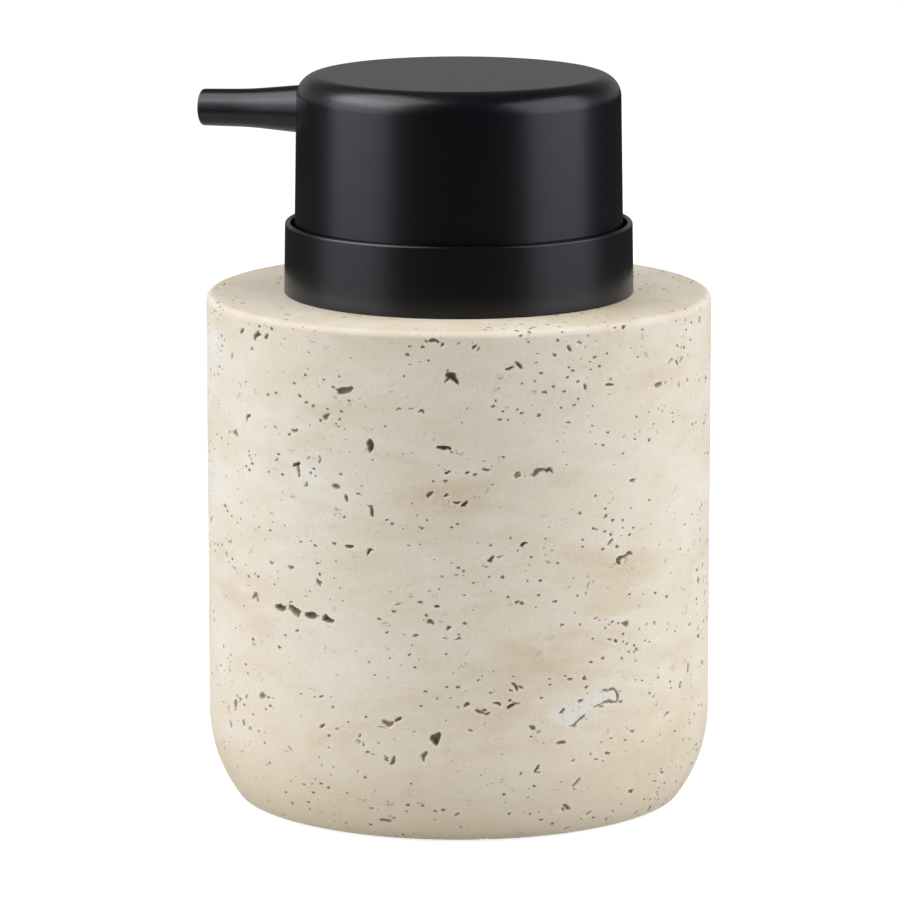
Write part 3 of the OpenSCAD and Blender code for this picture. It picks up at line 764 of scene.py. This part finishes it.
def make_materials():
    """Every material, by the record's slot."""
    given = bpy.context.scene.dispenser_colours
    colours = {key: tuple(getattr(given, key)) for key in DispenserColours.__annotations__}
    natural = colours["natural"]
    return {
        "travertine": travertine(colours),
        "black_plastic": moulded("satin_abs", colours["black"], 0.3, 0.003, 0.13, IOR=1.5,
                                 Specular_IOR_Level=0.4),
        "plug_plastic": moulded("black_polypropylene", colours["black"], 0.45, 0.02, 0.3, IOR=1.49),
        "bottle_plastic": moulded("blown_polyethylene", colours["milky"], 0.42, 0.03, 0.8, IOR=1.52,
                                  Subsurface_Weight=0.25, Subsurface_Scale=0.003),
        "pump_plastic": moulded("natural_polypropylene", natural, 0.34, 0.012, 0.4, IOR=1.49,
                                Subsurface_Weight=0.2, Subsurface_Scale=0.002),
        "piston_plastic": moulded("soft_polyethylene", natural, 0.4, 0.01, 0.3, IOR=1.52,
                                  Subsurface_Weight=0.3, Subsurface_Scale=0.002),
        "silicone": moulded("silicone_rubber", colours["silicone"], 0.5, 0.01, 0.2, IOR=1.41,
                            Subsurface_Weight=0.3, Subsurface_Scale=0.002),
        "pad_foam": closed_cell_foam(colours["foam"]),
        "spring_steel": drawn_wire(colours["steel"]),
        "ball_steel": ground_steel(colours["steel"]),
    }


MATERIALS = {}


def finish_piece(piece, body, replaced):
    """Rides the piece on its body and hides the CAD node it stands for."""
    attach(piece, body)
    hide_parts(replaced)


class DISPENSER_OT_stone(bpy.types.Operator):
    """Builds the travertine body with its open pores"""

    bl_idname = "dispenser.stone"
    bl_label = "Travertine Body"

    def execute(self, context):
        scene = context.scene
        mesh = travertine_mesh(scene.dispenser_sizes, scene.dispenser_pits)
        piece = put_in_scene("travertine_body", mesh, MATERIALS["travertine"])
        finish_piece(piece, "vessel", "stone_body")
        return {"FINISHED"}


class DISPENSER_OT_collar(bpy.types.Operator):
    """Builds the collar that the knob sinks into"""

    bl_idname = "dispenser.collar"
    bl_label = "Collar"

    def execute(self, context):
        sizes = context.scene.dispenser_sizes
        low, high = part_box("collar")
        foot = round(high.x, 5)
        rim = foot - sizes.collar_flare
        inner = rim - sizes.collar_wall
        floor = low.z + sizes.collar_floor
        edge = sizes.mould_edge
        lip = sizes.collar_wall * 0.45    # the two roundings of the rim all but meet
        outline = rounded_outline([
            (sizes.collar_hole, low.z, edge), (foot, low.z, edge), (rim, high.z, lip),
            (inner, high.z, lip), (inner, floor, 2 * edge), (sizes.collar_hole, floor, edge),
        ], closed=True)
        piece = turned("collar_ring", outline, COLLAR_COLUMNS, MATERIALS["black_plastic"],
                       closed=True)
        finish_piece(piece, "pump_unit", "collar")
        return {"FINISHED"}


class DISPENSER_OT_bottle(bpy.types.Operator):
    """Builds the blow-moulded inner bottle"""

    bl_idname = "dispenser.bottle"
    bl_label = "Inner Bottle"

    def execute(self, context):
        sizes = context.scene.dispenser_sizes
        low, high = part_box("inner_bottle")
        outer, wall, edge = sizes.bottle_radius, sizes.bottle_wall, sizes.mould_edge
        flange = round(high.x, 5)
        under = high.z - sizes.flange_thickness
        outline = rounded_outline([
            (0, low.z, 0), (outer, low.z, 0.9 * MM), (outer, under, edge), (flange, under, edge),
            (flange, high.z, 2 * edge), (outer - wall, high.z, 2 * edge),
            (outer - wall, low.z + wall, 3 * MM), (0, low.z + wall, 0),
        ])
        piece = turned("blown_bottle", outline, BOTTLE_COLUMNS, MATERIALS["bottle_plastic"],
                       closed=False)
        finish_piece(piece, "vessel", "inner_bottle")
        return {"FINISHED"}


class DISPENSER_OT_foot_pad(bpy.types.Operator):
    """Builds the foam pad under the stone"""

    bl_idname = "dispenser.foot_pad"
    bl_label = "Foot Pad"

    def execute(self, context):
        low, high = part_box("foot_pad")
        outline = rounded_outline([
            (0, low.z, 0), (high.x, low.z, 0.3 * MM), (high.x, high.z, 0.15 * MM), (0, high.z, 0),
        ])
        piece = turned("foam_foot_pad", outline, BOTTLE_COLUMNS, MATERIALS["pad_foam"],
                       closed=False)
        finish_piece(piece, "vessel", "foot_pad")
        return {"FINISHED"}


class DISPENSER_OT_seals(bpy.types.Operator):
    """Builds the three silicone rings, each a torus"""

    bl_idname = "dispenser.seals"
    bl_label = "Seals"

    def execute(self, context):
        for name, body in (("upper_plug_seal", "pump_unit"), ("lower_plug_seal", "pump_unit"),
                           ("stem_seal", "plunger")):
            low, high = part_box(name)
            section = (high.z - low.z) / 2
            swing = np.linspace(0, 2 * np.pi, 25)
            normal = np.column_stack([np.cos(swing), np.sin(swing)])
            centre = np.array([high.x - section, low.z + section])
            outline = np.column_stack([centre + section * normal, normal])
            piece = turned(name + "_ring", outline, SEAL_COLUMNS, MATERIALS["silicone"],
                           closed=True)
            finish_piece(piece, body, name)
        return {"FINISHED"}


WIRE_COLUMNS = 40    # rings of the spring's mesh in one turn
WIRE_SIDES = 16      # faces round the wire
CUT_CREASE = math.radians(50)    # the wire's cut ends meet its side sharply


def coil_height(turns, sizes, tall):
    """Height of the wire after some turns: one closed turn at each end, even pitch between."""
    wire, last = sizes.spring_wire, sizes.spring_turns
    rise = (tall - 3 * wire) / (last - 2)
    return (wire / 2 + wire * np.minimum(turns, 1) + rise * np.clip(turns - 1, 0, last - 2)
            + wire * np.maximum(0, turns - last + 1))


def spring_mesh(sizes):
    """A round wire swept along a helix: ring centre (R cos a, R sin a, h(a)), and each ring in
    the plane across the wire's direction, from its two unit normals."""
    low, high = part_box("return_spring")
    wire = sizes.spring_wire / 2
    radius = round(high.x, 5) - wire
    sides = WIRE_SIDES
    turns = np.linspace(0, sizes.spring_turns, sizes.spring_turns * WIRE_COLUMNS + 1)
    turn = 2 * np.pi * turns
    height = low.z + coil_height(turns, sizes, high.z - low.z)
    rise = np.gradient(height, turn)
    outward = np.column_stack([np.cos(turn), np.sin(turn), 0 * turn])
    along = np.column_stack([-radius * np.sin(turn), radius * np.cos(turn), rise])
    along /= np.linalg.norm(along, axis=1)[:, None]
    across = np.cross(along, outward)
    swing = np.linspace(0, 2 * np.pi, sides, endpoint=False)
    normals = (outward[:, None] * np.cos(swing)[None, :, None]
               - across[:, None] * np.sin(swing)[None, :, None])
    centres = radius * outward + np.column_stack([0 * turn, 0 * turn, height])
    points = (centres[:, None] + wire * normals).reshape(-1, 3)
    ring, side = np.meshgrid(np.arange(len(turns) - 1), np.arange(sides), indexing="ij")
    beside = (side + 1) % sides
    quads = np.dstack([ring * sides + side, (ring + 1) * sides + side,
                       (ring + 1) * sides + beside, ring * sides + beside]).reshape(-1, 4)
    last = (len(turns) - 1) * sides
    ends = [list(range(sides)), list(range(last + sides - 1, last - 1, -1))]
    mesh = mesh_from("wound_spring", points, quads.tolist() + ends)
    mesh.set_sharp_from_angle(angle=CUT_CREASE)
    return mesh


class DISPENSER_OT_spring(bpy.types.Operator):
    """Winds the return spring"""

    bl_idname = "dispenser.spring"
    bl_label = "Return Spring"

    def execute(self, context):
        sizes = context.scene.dispenser_sizes
        piece = put_in_scene("wound_spring", spring_mesh(sizes), MATERIALS["spring_steel"])
        finish_piece(piece, "pump_unit", "return_spring")
        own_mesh(piece)
        return {"FINISHED"}


class DISPENSER_OT_finishes(bpy.types.Operator):
    """Gives every carried-over CAD part its material"""

    bl_idname = "dispenser.finishes"
    bl_label = "Part Finishes"

    def execute(self, context):
        slots = {
            "black_plastic": ("knob_shell", "knob_core", "spout"),
            "plug_plastic": ("closure_plug",),
            "pump_plastic": ("pump_housing", "stem_guide", "spring_seat", "dip_tube",
                             "plunger_stem", "piston_retainer", "valve_cap"),
            "piston_plastic": ("piston",),
            "silicone": ("housing_gasket",),
            "ball_steel": ("inlet_ball", "outlet_ball"),
        }
        for slot, parts in slots.items():
            for part in parts:
                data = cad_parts[part].data
                data.materials.clear()
                data.materials.append(MATERIALS[slot])
        return {"FINISHED"}


class StageSettings(bpy.types.PropertyGroup):
    """The camera and the light round the object."""

    azimuth: angle("Azimuth", "Camera's turn about the pump's axis", FRONT_DEGREES)
    distance: length("Distance", "Camera's level distance from the axis", 962.3)
    height: length("Height", "Camera's height above the table", 243.7)
    pitch: angle("Pitch", "Camera's tilt below level", 10.886)
    lens: number("Lens", "Focal length in millimetres on a 36 mm sensor", 231.6)
    shift: number("Shift", "Sideways shift of the lens", -0.0098)
    box_radiance: number("Softbox light", "Radiance of each side softbox", 2.85)
    box_turn: angle("Softbox turn", "Each side softbox's turn from the camera", 74)
    box_width: length("Softbox width", "Width of each side softbox", 800)
    box_height: length("Softbox height", "Height of each side softbox", 900)
    box_distance: length("Softbox distance", "Distance of each side softbox", 720)
    sheen_turn: angle("Sheen light turn", "The upper left light's turn from the camera", 82)
    sheen_rise: angle("Sheen light rise", "How far up the upper left light stands", 53)
    sheen_distance: length("Sheen light distance", "Distance of the upper left light", 800)
    sheen_size: length("Sheen light size", "Side of the square upper left light", 650)
    sheen_radiance: number("Sheen light", "Radiance of the upper left light, seen in gloss only", 4.1)
    top_radiance: number("Top light", "Radiance of the overhead softbox, on matt faces only", 1.3)
    front: number("Front sky", "Sky radiance behind the camera", 0.05)
    back: number("Back sky", "Sky radiance behind the object", 0.40)
    above: number("Top sky", "Sky radiance overhead, on matt faces only", 0.3)
    floor_glow: number("Floor glow", "Light that the floor shows the eye by itself", 0.86)
    floor_bounce: number("Floor bounce", "Share of light that the floor throws back near by", 0.64)
    bounce_reach: length("Bounce reach", "Distance at which the floor's bounce starts to fade", 190)


FLOOR_RADIUS = 8.0    # metres; past what any low view of the stage reaches
FLOOR_GAP = 0.05 * MM    # keeps the floor clear of the foot pad's face
FLOOR_SIDES = 96
FAR_BOUNCE = 0.06    # share of light that the floor throws back far away
MIDDLE = (0, 0, 60 * MM)    # the lights face this point, about half way up the dispenser
BOX_TINT = (0.93, 0.96, 1.04)    # the side softboxes are a little cool
BOX_RAISE = 0.42    # height of a side softbox's middle, in its own heights
TOP_HEIGHT = 0.9    # metres above the table
TOP_SIZE = 1.0      # metres


def around_axis(turn, reach, height):
    """Point at an angle about the axis from the front, a level distance and a height."""
    return Vector((math.sin(turn) * reach, -math.cos(turn) * reach, height))


def softbox(name, place, wide, tall, radiance, tint=(1.0, 1.0, 1.0)):
    """A rectangular area light that faces the object; its power is pi times area times radiance."""
    data = bpy.data.lights.new(name, "AREA")
    data.shape = "RECTANGLE"
    data.size, data.size_y = wide, tall
    data.energy = math.pi * wide * tall * radiance
    data.color = tint
    lamp = bpy.data.objects.new(name, data)
    bpy.context.scene.collection.objects.link(lamp)
    lamp.location = place
    lamp.rotation_euler = (place - Vector(MIDDLE)).to_track_quat("Z", "Y").to_euler()
    lamp.visible_camera = False
    return lamp


def sky(stage, toward_camera):
    """Sky that is dim behind the camera, pale behind the object and darker higher up.

    The lift overhead lights matt surfaces only, and the camera itself sees white.
    """
    world = bpy.data.worlds.new("studio_sky")
    bpy.context.scene.world = world
    world.use_nodes = True
    tree = world.node_tree
    way = node(tree, "TexCoord", out="Generated")
    back = node(tree, "VectorMath", [way, tuple(-toward_camera)], operation="DOT_PRODUCT")
    level = node(tree, "MapRange", [back, -0.2, 0.95, stage.front, stage.back],
                 interpolation_type="SMOOTHSTEP")
    rise = node(tree, "SeparateXYZ", [way], out="Z")
    dusk = node(tree, "MapRange", [rise, 0.2, 0.42, 1.0, 0.3])
    level = node(tree, "Math", [level, dusk], operation="MULTIPLY")
    lift = node(tree, "MapRange", [rise, 0.6, 1.0])
    matt = node(tree, "LightPath", out="Is Diffuse Ray")
    lift = node(tree, "Math", [lift, matt], operation="MULTIPLY")
    level = node(tree, "Mix", {0: lift, 2: level, 3: stage.above})
    seen = node(tree, "LightPath", out="Is Camera Ray")
    level = node(tree, "Mix", {0: seen, 2: level, 3: 1.0})
    tree.links.new(level, tree.nodes["Background"].inputs["Strength"])
    tree.nodes["Background"].inputs["Color"].default_value = (0.97, 0.985, 1.0, 1.0)


def studio_floor(stage):
    """A wide pale floor: each point is an angle's unit circle times one of two radii.

    It is white to the eye, clear from below and open under the foot pad. It throws back little
    light, so that the sides of the object keep the soft fall-off that the softboxes give.
    """
    material = bpy.data.materials.new("studio_floor")
    material.use_nodes = True
    tree = material.node_tree
    tree.nodes.remove(tree.nodes["Principled BSDF"])
    seen = node(tree, "LightPath", out="Is Camera Ray")
    where = node(tree, "TexCoord", out="Object")
    away = node(tree, "VectorMath", [where], operation="LENGTH")
    bounce = node(tree, "MapRange", [away, stage.bounce_reach, 2 * stage.bounce_reach,
                                     stage.floor_bounce, FAR_BOUNCE],
                  interpolation_type="SMOOTHSTEP")
    albedo = node(tree, "Mix", {0: seen, 2: bounce, 3: 0.5})
    glow = node(tree, "Mix", {0: seen, 2: 0.0, 3: stage.floor_glow})
    matt = node(tree, "BsdfDiffuse", {"Color": albedo})
    lit = node(tree, "Emission", {"Strength": glow})
    both = node(tree, "AddShader", [matt, lit])
    under = node(tree, "NewGeometry", out="Backfacing")
    clear = node(tree, "BsdfTransparent")
    one_way = node(tree, "MixShader", [under, both, clear])
    tree.links.new(one_way, tree.nodes["Material Output"].inputs["Surface"])
    swing = np.linspace(0, 2 * np.pi, FLOOR_SIDES, endpoint=False)
    circle = np.column_stack([np.cos(swing), np.sin(swing), 0 * swing])
    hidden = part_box("foot_pad")[1].x - MM
    points = np.vstack([hidden * circle, FLOOR_RADIUS * circle]) - (0, 0, FLOOR_GAP)
    here = np.arange(FLOOR_SIDES)
    beside = np.roll(here, -1)
    ring = np.column_stack([here, here + FLOOR_SIDES, beside + FLOOR_SIDES, beside])
    mesh = mesh_from("studio_floor", points, ring.tolist())
    put_in_scene("studio_floor", mesh, material)


class DISPENSER_OT_stage(bpy.types.Operator):
    """Sets up the floor, the light and the camera"""

    bl_idname = "dispenser.stage"
    bl_label = "Studio Stage"

    def execute(self, context):
        scene = context.scene
        stage = scene.dispenser_stage
        front = stage.azimuth
        studio_floor(stage)
        sky(stage, around_axis(front, 1, 0))
        for name, side in (("left_softbox", -1), ("right_softbox", 1)):
            place = around_axis(front + side * stage.box_turn, stage.box_distance,
                                BOX_RAISE * stage.box_height)
            softbox(name, place, stage.box_width, stage.box_height, stage.box_radiance, BOX_TINT)
        place = around_axis(front - stage.sheen_turn,
                            stage.sheen_distance * math.cos(stage.sheen_rise),
                            stage.sheen_distance * math.sin(stage.sheen_rise))
        sheen = softbox("upper_left_softbox", place, stage.sheen_size, stage.sheen_size,
                        stage.sheen_radiance)
        sheen.visible_diffuse = False
        top = softbox("top_softbox", around_axis(front, 0, TOP_HEIGHT), TOP_SIZE, TOP_SIZE,
                      stage.top_radiance)
        top.visible_glossy = False

        data = bpy.data.cameras.new("camera")
        data.sensor_width = 36.0
        data.lens = stage.lens
        data.shift_x = stage.shift
        data.clip_start, data.clip_end = 0.05, 50.0
        camera = bpy.data.objects.new("camera", data)
        scene.collection.objects.link(camera)
        camera.location = around_axis(front, stage.distance, stage.height)
        camera.rotation_euler = (math.pi / 2 - stage.pitch, 0, front)
        scene.camera = camera
        scene.view_settings.view_transform = "Standard"
        return {"FINISHED"}


class DISPENSER_PT_panel(bpy.types.Panel):
    """Lists the dispenser's pieces"""

    bl_idname = "DISPENSER_PT_panel"
    bl_label = "Soap Dispenser"
    bl_space_type = "VIEW_3D"
    bl_region_type = "UI"
    bl_category = "Dispenser"

    def draw(self, context):
        for operator in OPERATORS:
            self.layout.operator(operator.bl_idname)
        for group in (context.scene.dispenser_sizes, context.scene.dispenser_pits,
                      context.scene.dispenser_colours, context.scene.dispenser_stage):
            box = self.layout.box()
            for key in type(group).__annotations__:
                box.prop(group, key)


GROUPS = {
    "dispenser_sizes": DispenserSizes,
    "dispenser_pits": TravertinePits,
    "dispenser_colours": DispenserColours,
    "dispenser_stage": StageSettings,
}
OPERATORS = (
    DISPENSER_OT_stone, DISPENSER_OT_collar, DISPENSER_OT_bottle, DISPENSER_OT_foot_pad,
    DISPENSER_OT_seals, DISPENSER_OT_spring, DISPENSER_OT_finishes, DISPENSER_OT_stage,
)


def register():
    for name, group in GROUPS.items():
        bpy.utils.register_class(group)
        setattr(bpy.types.Scene, name, bpy.props.PointerProperty(type=group))
    for operator in OPERATORS:
        bpy.utils.register_class(operator)
    bpy.utils.register_class(DISPENSER_PT_panel)


def unregister():
    bpy.utils.unregister_class(DISPENSER_PT_panel)
    for operator in reversed(OPERATORS):
        bpy.utils.unregister_class(operator)
    for name, group in GROUPS.items():
        delattr(bpy.types.Scene, name)
        bpy.utils.unregister_class(group)


def main():
    register()
    MATERIALS.update(make_materials())
    for operator in OPERATORS:
        group, name = operator.bl_idname.split(".")
        getattr(getattr(bpy.ops, group), name)()


if __name__ == "__main__":
    main()
